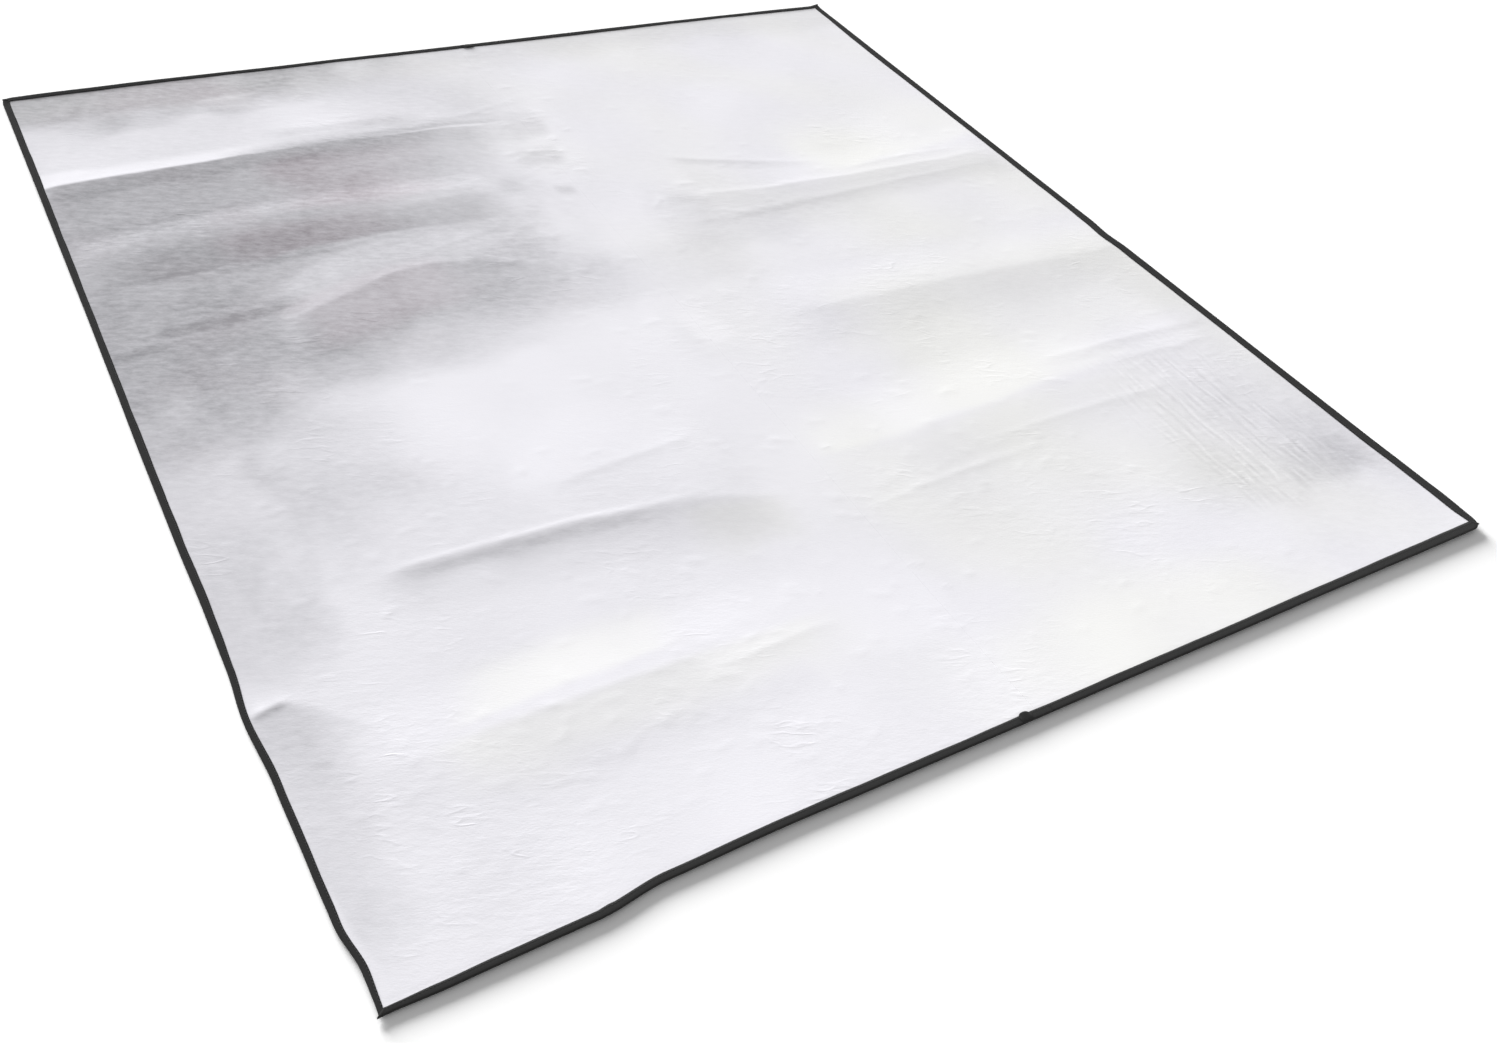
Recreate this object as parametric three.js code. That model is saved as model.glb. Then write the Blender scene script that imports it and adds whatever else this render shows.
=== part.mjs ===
// A foil faced foam sleeping mat: two widths of laminated foam joined down the middle and bound in folded tape.
// Millimetres. X runs across the mat, Y along it from the front to the back, and Z up.
// The origin is on the ground under the middle of the mat. The mat lies open, face up.

import * as THREE from 'three';
import { mergeVertices } from 'three/addons/utils/BufferGeometryUtils.js';

// The mat
const panelWidth = 1000; // one roll width of laminated foam, and the mat is two of them
const matLength = 2200;
const foamThickness = 2.5;
const filmThickness = 0.1;

// The seam between the two widths, and the fold along it
const seamGap = 0.4;
const foldRadius = 14; // the fold's axis lies this high above the ground
const seamTapeWidth = Math.PI * foldRadius; // goes once round the half turn of the closed fold
const seamTapeThickness = 0.1;
const flatBesideTape = 58; // the seam holds this much of each width flat

// The binding: one tape folded over the edge all the way round
const bindingReach = 12; // from the cut edge in over the face
const bindingThickness = 0.6;
const bindingClearance = 0.25;
const mitreGap = 0.4;

// The places where the two ends of the tape lie over each other
const lapThickness = 0.6;
const lapClearance = 0.25;
const frontLap = { centre: -46, length: 22, overhang: 6, hump: 2.5 };
const backLap = { centre: 6, length: 32, overhang: 3, hump: 1.5 };

// The folds that rolling leaves in the sheet. Side is -1 on the left width and 1 on the right. Across runs from
// the seam at 0 to the side edge at 1, and crest from the front at -1 to the back at 1, for the seam's end of the
// fold, its pull in the middle and its other end. Edge is the shape of the slopes behind and ahead: 1 meets the
// crest in an edge, 0 is round, and -1 meets the ground in an edge. The rest is millimetres.
const foldFade = 130; // a fold starts at the seam over this length
const sideFade = 70; // and dies away towards the side edge over this one
const folds = [
  { side: -1, across: [0.06, 1.02], crest: [0.68, 0.705, 0.657], rise: 5.4, behind: 200, ahead: 190, edge: [0.7, 0.7] },
  { side: -1, across: [0.14, 1.02], crest: [0.42, 0.485, 0.41], rise: 4.5, behind: 70, ahead: 110, edge: [0, -0.8] },
  { side: -1, across: [0.14, 0.84], crest: [0.3, 0.235, 0.115], rise: 4.5, behind: 120, ahead: 170, edge: [-0.6, 0.7] },
  { side: -1, across: [0.08, 0.78], crest: [-0.515, -0.405, -0.44], rise: 3.8, behind: 300, ahead: 120, edge: [0, 0.6] },
  { side: -1, across: [0.12, 0.94], crest: [-0.73, -0.72, -0.73], rise: 2.2, behind: 110, ahead: 140, edge: [0.3, 0.3] },
  { side: 1, across: [0.1, 1], crest: [0.3, 0.235, 0.27], rise: 2.2, behind: 130, ahead: 110, edge: [0.4, 0.3] },
  { side: 1, across: [0.12, 1], crest: [-0.105, -0.125, -0.14], rise: 2.4, behind: 130, ahead: 150, edge: [0.3, 0.6] },
  { side: 1, across: [0, 1], crest: [-0.465, -0.435, -0.42], rise: 2.2, behind: 170, ahead: 150, edge: [0.5, 0.3] },
];

// How finely the laid sheet is faceted
const columnStep = 140;
const rowStep = 50;

// Heights of the stacked layers over flat ground
const baseFilmBottom = bindingThickness + bindingClearance;
const foamBottom = baseFilmBottom + filmThickness;
const foamTop = foamBottom + foamThickness;
const topFilmTop = foamTop + filmThickness;
const bindingTop = topFilmTop + bindingClearance + bindingThickness;

// Where the sheet's grid lines run: beside the seam, where folds die away, under the binding's edge, and between
const halfLength = matLength / 2;
const flatHalfWidth = seamTapeWidth / 2 + flatBesideTape;
const columns = [
  seamGap / 2,
  seamTapeWidth / 2 + bindingClearance,
  ...evenly(flatHalfWidth, panelWidth - sideFade, columnStep),
  panelWidth - bindingReach,
  panelWidth,
];
const innerRows = evenly(bindingReach - halfLength, halfLength - bindingReach, rowStep);
const rows = [-halfLength, ...innerRows, halfLength];

function evenly(from, to, longestStep) {
  const steps = Math.ceil((to - from) / longestStep);
  return Array.from({ length: steps + 1 }, (_, i) => THREE.MathUtils.lerp(from, to, i / steps));
}

// The height of a slope, 1 at the crest and 0 at the ground, at a share of its length away from the crest.
function slopeHeight(away, edge) {
  const share = Math.min(away, 1);
  const toCrest = Math.max(edge, 0) * (1 - share) ** 2;
  const toGround = Math.max(-edge, 0) * (1 - share ** 2);
  return ((1 - Math.abs(edge)) * (1 + Math.cos(Math.PI * share))) / 2 + toCrest + toGround;
}

// A fold rises from 0 behind its crest to 1 on it and falls away ahead of it.
function foldShape(beyondCrest, { behind, ahead, edge }) {
  return beyondCrest > 0 ? slopeHeight(beyondCrest / behind, edge[0]) : slopeHeight(-beyondCrest / ahead, edge[1]);
}

function liftOfFold(fold, x, y) {
  const { smoothstep, inverseLerp, lerp } = THREE.MathUtils;
  const [start, end] = fold.across.map((share) => share * panelWidth);
  const reach = x * fold.side;
  const strength = smoothstep(reach, start, start + foldFade) * smoothstep(end - reach, 0, sideFade);
  const along = THREE.MathUtils.clamp(inverseLerp(start, end, reach), 0, 1);
  const [near, pull, far] = fold.crest.map((share) => share * halfLength);
  const crest = lerp(lerp(near, pull, along), lerp(pull, far, along), along);
  return fold.rise * strength * foldShape(y - crest, fold);
}

// Lays a point of the flat cut sheet on the ground, lifted by the folds and held flat beside the seam. The binding
// keeps the border level across its width.
function lay(x, y, z) {
  const freed = THREE.MathUtils.smoothstep(Math.abs(x), flatHalfWidth, flatHalfWidth + foldFade);
  const border = panelWidth - bindingReach;
  const inside = THREE.MathUtils.clamp(x, -border, border);
  const lift = folds.reduce((sum, fold) => sum + liftOfFold(fold, inside, y), 0);
  return [x, y, z + freed * lift];
}

// One layer of a width, between two heights. Every layer is faceted alike, so that bonded faces meet exactly.
function layer(xs, ys, low, high) {
  const places = [low, high].flatMap((z) => ys.flatMap((y) => xs.flatMap((x) => lay(x, y, z))));
  const at = (i, j, level) => (level * ys.length + j) * xs.length + i;
  const faces = [];
  const quad = (a, b, c, d) => faces.push(a, b, c, a, c, d);
  const lastColumn = xs.length - 1;
  const lastRow = ys.length - 1;
  for (let i = 0; i < lastColumn; i++) {
    for (let j = 0; j < lastRow; j++) {
      quad(at(i, j, 1), at(i + 1, j, 1), at(i + 1, j + 1, 1), at(i, j + 1, 1));
      quad(at(i, j, 0), at(i, j + 1, 0), at(i + 1, j + 1, 0), at(i + 1, j, 0));
    }
    quad(at(i, 0, 0), at(i + 1, 0, 0), at(i + 1, 0, 1), at(i, 0, 1));
    quad(at(i + 1, lastRow, 0), at(i, lastRow, 0), at(i, lastRow, 1), at(i + 1, lastRow, 1));
  }
  for (let j = 0; j < lastRow; j++) {
    quad(at(0, j + 1, 0), at(0, j, 0), at(0, j, 1), at(0, j + 1, 1));
    quad(at(lastColumn, j, 0), at(lastColumn, j + 1, 0), at(lastColumn, j + 1, 1), at(lastColumn, j, 1));
  }
  const geometry = new THREE.BufferGeometry();
  geometry.setAttribute('position', new THREE.Float32BufferAttribute(places, 3));
  geometry.setIndex(faces);
  return geometry;
}

// The sides of the mat, walked with the mat on the left hand
const sides = {
  front: { middle: new THREE.Vector2(0, -halfLength), along: new THREE.Vector2(1, 0) },
  right: { middle: new THREE.Vector2(panelWidth, 0), along: new THREE.Vector2(0, 1) },
  back: { middle: new THREE.Vector2(0, halfLength), along: new THREE.Vector2(-1, 0) },
  left: { middle: new THREE.Vector2(-panelWidth, 0), along: new THREE.Vector2(0, -1) },
};

// Runs a section along a side. The section's X is measured inward from the cut edge and its Y up from the ground.
// Each stop gives how far along the side the section stands there, for a point at a given distance inward.
function edging(section, side, stops) {
  const steps = stops.length - 1;
  const run = new THREE.ExtrudeGeometry(section, { depth: 1, steps, bevelEnabled: false, curveSegments: 6 });
  run.deleteAttribute('normal');
  run.deleteAttribute('uv');
  const inward = new THREE.Vector2(-side.along.y, side.along.x);
  const points = run.attributes.position;
  for (let i = 0; i < points.count; i++) {
    const inset = points.getX(i);
    const along = stops[Math.round(points.getZ(i) * steps)](inset);
    const place = side.middle.clone().addScaledVector(side.along, along).addScaledVector(inward, inset);
    points.setXYZ(i, ...lay(place.x, place.y, points.getY(i)));
  }
  return mergeVertices(run);
}

// The folded tape's section: a U lying on its side, open towards the mat, with its outer corners taken off
function bindingSection() {
  const outside = -bindingClearance - bindingThickness;
  const legTop = bindingTop - bindingThickness;
  const section = new THREE.Shape();
  section.moveTo(bindingReach, 0);
  section.lineTo(bindingReach, bindingThickness);
  section.lineTo(-bindingClearance, bindingThickness);
  section.lineTo(-bindingClearance, legTop);
  section.lineTo(bindingReach, legTop);
  section.lineTo(bindingReach, bindingTop);
  section.lineTo(-bindingClearance, bindingTop);
  section.lineTo(outside, legTop);
  section.lineTo(outside, bindingThickness);
  section.lineTo(-bindingClearance, 0);
  return section;
}

const squareAt = (place) => () => place;
const mitreAt = (corner, towards) => (inset) => corner - towards * (inset + mitreGap / 2);

// A lap's section: the tape's end turned under and sewn down over the binding, which makes a low hump
function lapSection({ overhang, hump }) {
  const inside = -bindingClearance - bindingThickness - lapClearance;
  const outside = inside - lapThickness;
  const seat = bindingTop + lapClearance;
  const tip = bindingReach + overhang;
  const section = new THREE.Shape();
  section.moveTo(outside, lapThickness);
  section.lineTo(inside, lapThickness);
  section.lineTo(inside, seat);
  section.lineTo(tip, seat);
  section.lineTo(tip, seat + lapThickness);
  section.quadraticCurveTo(tip / 2, seat + lapThickness + 2 * hump, outside, seat);
  return section;
}

function lap(side, { centre, length, ...shape }) {
  const along = centre * side.along.x;
  return edging(lapSection(shape), side, [squareAt(along - length / 2), squareAt(along + length / 2)]);
}

const foil = { color: 0xdcdbe4, roughness: 0.35, metalness: 0.9 };
const foam = { color: 0xf4f4f2, roughness: 0.85, metalness: 0 };
const tape = { color: 0x1c1c1e, roughness: 0.9, metalness: 0 };

const mat = new THREE.Group();

function addPiece(name, geometry, finish) {
  const piece = new THREE.Mesh(geometry, new THREE.MeshStandardMaterial(finish));
  piece.name = name;
  mat.add(piece);
}

// The laminated widths
for (const [hand, side] of [['left', -1], ['right', 1]]) {
  const xs = side < 0 ? columns.map((x) => -x).reverse() : columns;
  addPiece(`${hand}_base_film`, layer(xs, rows, baseFilmBottom, foamBottom), foil);
  addPiece(`${hand}_foam_core`, layer(xs, rows, foamBottom, foamTop), foam);
  addPiece(`${hand}_top_film`, layer(xs, rows, foamTop, topFilmTop), foil);
}

// The tapes that join them, one on each face
const tapeEdges = [-seamTapeWidth / 2, seamTapeWidth / 2];
const tapeEnds = [-halfLength, halfLength];
const baseTape = layer(tapeEdges, tapeEnds, baseFilmBottom - seamTapeThickness, baseFilmBottom);
const topTape = layer(tapeEdges, tapeEnds, topFilmTop, topFilmTop + seamTapeThickness);
addPiece('seam_tape_base', baseTape, foil);
addPiece('seam_tape_top', topTape, foil);

// The binding, mitred at the corners and divided at the fold
const binding = bindingSection();
const sideStops = innerRows.slice(1, -1).map(squareAt);
const startMitre = (half) => mitreAt(-half, -1);
const endMitre = (half) => mitreAt(half, 1);
for (const name of ['left', 'right']) {
  const stops = [startMitre(halfLength), ...sideStops, endMitre(halfLength)];
  addPiece(`binding_${name}`, edging(binding, sides[name], stops), tape);
}
for (const [name, first, second] of [['front', 'left', 'right'], ['back', 'right', 'left']]) {
  const untilFold = [startMitre(panelWidth), squareAt(-seamGap / 2)];
  const fromFold = [squareAt(seamGap / 2), endMitre(panelWidth)];
  addPiece(`binding_${name}_${first}`, edging(binding, sides[name], untilFold), tape);
  addPiece(`binding_${name}_${second}`, edging(binding, sides[name], fromFold), tape);
}
addPiece('front_tape_lap', lap(sides.front, frontLap), tape);
addPiece('back_tape_lap', lap(sides.back, backLap), tape);

export default mat;
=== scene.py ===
"""A foil faced foam sleeping mat, lying open: two widths of laminated foam bound round in folded black tape."""

import math

import bmesh
import bpy
import numpy as np
from mathutils import Matrix, Vector


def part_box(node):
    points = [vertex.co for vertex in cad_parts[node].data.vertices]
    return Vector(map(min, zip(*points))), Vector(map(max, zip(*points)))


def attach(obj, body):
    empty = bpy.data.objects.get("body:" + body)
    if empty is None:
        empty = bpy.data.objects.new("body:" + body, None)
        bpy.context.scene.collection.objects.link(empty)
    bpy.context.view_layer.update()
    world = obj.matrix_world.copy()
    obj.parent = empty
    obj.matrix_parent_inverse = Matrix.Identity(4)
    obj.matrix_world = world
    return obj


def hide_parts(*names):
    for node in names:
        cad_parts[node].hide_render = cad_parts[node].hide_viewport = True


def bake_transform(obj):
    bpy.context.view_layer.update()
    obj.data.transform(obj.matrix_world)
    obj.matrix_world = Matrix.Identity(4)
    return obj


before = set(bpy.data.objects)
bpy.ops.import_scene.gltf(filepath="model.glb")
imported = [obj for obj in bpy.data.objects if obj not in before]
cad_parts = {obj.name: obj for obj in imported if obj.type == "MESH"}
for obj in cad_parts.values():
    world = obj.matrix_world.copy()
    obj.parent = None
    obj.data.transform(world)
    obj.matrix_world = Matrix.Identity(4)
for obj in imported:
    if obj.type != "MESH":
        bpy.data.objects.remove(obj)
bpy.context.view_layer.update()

# Camera: the photograph's place, direction and lens
CAMERA_PLACE = (-1.1532, -1.8217, 1.4512)
CAMERA_ELEVATION = 42.91
CAMERA_AZIMUTH = 37.57
CAMERA_ROLL = 10.23
LENS = 32.30
SENSOR = 36.0

# The mat's own sizes, read from the frame. Metres.
HALF_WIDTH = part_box("right_foam_core")[1].x
HALF_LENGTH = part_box("right_foam_core")[1].y
SEAM_HALF_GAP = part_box("right_foam_core")[0].x
SEAM_TAPE_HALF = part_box("seam_tape_top")[1].x
FILM_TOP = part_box("seam_tape_top")[0].z
SEAM_TAPE_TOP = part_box("seam_tape_top")[1].z
FILM_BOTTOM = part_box("seam_tape_base")[1].z
SEAM_TAPE_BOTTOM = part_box("seam_tape_base")[0].z
TAPE_REACH = HALF_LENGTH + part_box("binding_front_left")[1].y
TAPE_OUTSIDE = -HALF_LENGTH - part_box("binding_front_left")[0].y
FOAM_MIDDLE = (FILM_TOP + FILM_BOTTOM) / 2
FOAM_CLEARANCE = 0.0002
WIDTHS = {-1: "left", 1: "right"}
WHOLE_LENGTH = (-HALF_LENGTH, HALF_LENGTH)

# How finely the pieces are divided. Metres.
FILM_CELL = 0.005
FOAM_CELL = 0.010
TAPE_STEP = 0.008

# The folds that rolling leaves in the sheet. A row gives the side, -1 for the left width and 1 for the right;
# the fold's start and end across it, from the seam at 0 to the side edge at 1; the crest's place at its
# start, its pull in the middle and its end, from the front at -1 to the back at 1; its rise; its reach behind
# and ahead; and the shape of its slopes behind and ahead: 1 meets the crest in an edge, 0 is round, -1 meets
# the ground in an edge.
FOLD_FADE = 0.130
SIDE_FADE = 0.070
SEAM_HELD_FLAT = 0.080
FOLDS = [
    (-1, (0.06, 1.02), (0.658, 0.676, 0.649), 0.0054, 0.200, 0.190, (0.7, 0.7)),
    (-1, (0.14, 1.02), (0.42, 0.485, 0.41), 0.0045, 0.070, 0.110, (0.0, -0.8)),
    (-1, (0.14, 0.72), (0.12, 0.330, 0.115), 0.0045, 0.120, 0.170, (-0.6, 0.7)),
    (-1, (0.08, 0.78), (-0.515, -0.405, -0.44), 0.0038, 0.300, 0.120, (0.0, 0.6)),
    (-1, (0.12, 0.94), (-0.73, -0.72, -0.73), 0.0022, 0.110, 0.140, (0.3, 0.3)),
    (1, (0.10, 1.0), (0.3, 0.235, 0.27), 0.0022, 0.130, 0.110, (0.4, 0.3)),
    (1, (0.12, 1.0), (-0.105, -0.125, -0.14), 0.0024, 0.130, 0.150, (0.3, 0.6)),
    (1, (0.00, 1.0), (-0.465, -0.435, -0.42), 0.0022, 0.170, 0.150, (0.5, 0.3)),
]

# Sharp creases along the crests and elsewhere. A row gives both ends, how far the middle bows to the left of
# the line from start to end, the height, and how far it spreads behind and ahead. Metres.
CREASES = [
    ((-1.02, 0.714), (-0.58, 0.732), 0.003, 0.0008, 0.012, 0.016),
    ((-0.70, 0.731), (-0.06, 0.722), 0.005, 0.0002, 0.012, 0.014),
    ((-0.26, 0.752), (0.03, 0.830), -0.008, 0.0004, 0.010, 0.014),
    ((-0.92, 0.338), (-0.34, 0.372), 0.006, 0.0007, 0.008, 0.020),
    ((-0.71, 0.166), (-0.48, 0.246), -0.006, 0.0006, 0.008, 0.014),
    ((-0.54, 0.226), (-0.22, 0.170), 0.050, 0.0005, 0.010, 0.014),
    ((-0.46, 0.272), (-0.22, 0.340), 0.004, 0.0005, 0.010, 0.010),
    ((-0.90, 0.208), (-0.70, 0.214), 0.004, 0.0006, 0.012, 0.010),
    ((-1.00, 0.166), (-0.88, 0.176), 0.0, 0.0006, 0.012, 0.010),
    ((-0.745, -0.475), (-0.22, -0.503), 0.003, 0.0005, 0.007, 0.020),
    ((-0.72, -0.476), (-0.34, -0.494), 0.002, 0.0004, 0.006, 0.012),
    ((-0.30, -0.498), (-0.10, -0.558), 0.002, 0.0003, 0.012, 0.016),
    ((-0.44, -0.398), (-0.18, -0.368), 0.004, 0.0003, 0.014, 0.010),
    ((-1.01, -0.656), (-0.945, -0.642), 0.002, 0.0014, 0.008, 0.008),
    ((-0.74, -0.792), (-0.40, -0.796), 0.0, 0.0005, 0.020, 0.014),
    ((-0.41, -0.832), (-0.18, -0.826), 0.003, 0.0006, 0.012, 0.012),
    ((-0.078, 0.590), (0.020, 0.570), 0.002, 0.0006, 0.006, 0.010),
    ((-0.025, 0.728), (0.055, 0.724), 0.001, 0.0005, 0.006, 0.010),
    ((-0.062, 0.525), (-0.018, 0.508), 0.001, 0.0005, 0.006, 0.009),
    ((-0.064, 0.440), (-0.034, 0.423), 0.001, 0.0006, 0.006, 0.010),
    ((0.200, 0.256), (0.290, 0.224), 0.001, 0.0005, 0.006, 0.008),
    ((0.172, 0.372), (0.236, 0.360), 0.001, 0.0006, 0.007, 0.007),
    ((0.124, 0.340), (0.102, 0.298), 0.001, 0.0006, 0.005, 0.007),
    ((0.11, 0.330), (1.00, 0.292), -0.022, 0.0007, 0.010, 0.012),
    ((0.58, 0.318), (0.90, 0.322), 0.004, 0.0005, 0.008, 0.010),
    ((0.14, 0.222), (0.98, 0.250), -0.006, 0.0006, 0.014, 0.010),
    ((0.20, 0.488), (0.54, 0.362), -0.006, 0.0004, 0.012, 0.008),
    ((0.232, 0.530), (0.234, 0.370), 0.004, 0.0004, 0.006, 0.008),
    ((0.56, -0.420), (0.95, -0.436), 0.004, 0.0006, 0.012, 0.010),
    ((0.66, -0.480), (0.94, -0.486), 0.002, 0.0005, 0.010, 0.010),
    ((0.30, -0.572), (0.84, -0.576), 0.004, 0.0005, 0.008, 0.010),
    ((0.00, -0.640), (0.38, -0.622), 0.008, 0.0005, 0.008, 0.010),
]

# Patches of short wrinkles: the middle, half the size, how many, and the height of the highest. Metres. Their
# turn is a mean and a spread, and each has its share of the height. Past the margin a wrinkle is nothing.
WRINKLE_SEED = 11
WRINKLE_LENGTH = (0.012, 0.045)
WRINKLE_SPREAD = (0.0035, 0.0070)
WRINKLE_TURN = (-0.25, 0.25)
WRINKLE_BOW = 0.002
WRINKLE_SHARES = (0.3, 1)
WRINKLE_MARGIN = 6
WRINKLED = [
    dict(middle=(-0.02, 0.62), half=(0.09, 0.15), count=30, height=0.0007),
    dict(middle=(-0.21, 0.24), half=(0.08, 0.14), count=34, height=0.0006),
    dict(middle=(-0.26, 0.42), half=(0.16, 0.08), count=20, height=0.0004),
    dict(middle=(-0.66, 1.00), half=(0.32, 0.07), count=34, height=0.0006),
    dict(middle=(-0.15, 1.02), half=(0.20, 0.05), count=14, height=0.0004),
    dict(middle=(-0.54, -0.84), half=(0.20, 0.08), count=44, height=0.0004),
    dict(middle=(0.18, -0.63), half=(0.22, 0.05), count=30, height=0.0004),
    dict(middle=(0.30, 0.26), half=(0.18, 0.10), count=28, height=0.0004),
    dict(middle=(0.80, -0.62), half=(0.17, 0.20), count=40, height=0.0004),
    dict(middle=(-0.84, -0.40), half=(0.12, 0.22), count=30, height=0.0003),
    dict(middle=(0.0, 0.0), half=(0.94, 1.04), count=620, height=0.0004),
]

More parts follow.
